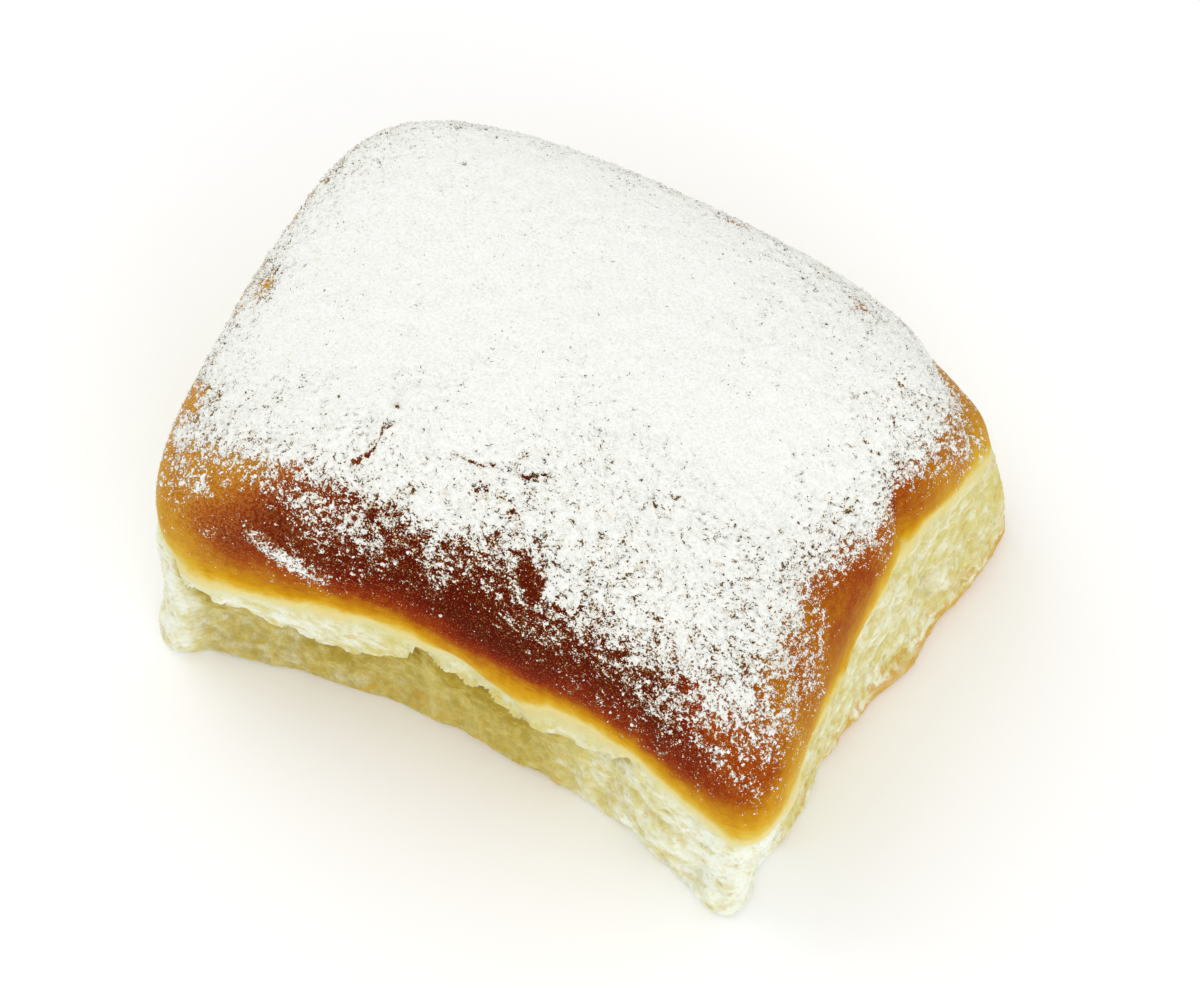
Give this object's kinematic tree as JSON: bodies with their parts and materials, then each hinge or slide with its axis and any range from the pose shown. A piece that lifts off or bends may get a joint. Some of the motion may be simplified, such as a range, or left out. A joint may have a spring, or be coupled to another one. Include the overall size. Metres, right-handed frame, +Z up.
{
  "type": "curd cheese bun",
  "caption": "Pull-apart sweet yeast bun with a domed browned crust, torn crumb sides and a dusting of icing sugar.",
  "frame": {"origin": "centre of the footprint's box, on the surface that the bun rests on", "axes": "+X along the long side, +Y towards the back torn side, +Z up out of the crust"},
  "size_m": [0.0954, 0.0792, 0.0457],
  "materials": {
    "baked_dough": "egg-washed browned crust on top, pale torn crumb on the sides, browned underside",
    "icing_sugar": "fine dry powder with small clumps"
  },
  "bodies": {
    "root": {"bun": "baked_dough"}
  },
  "joints": []
}
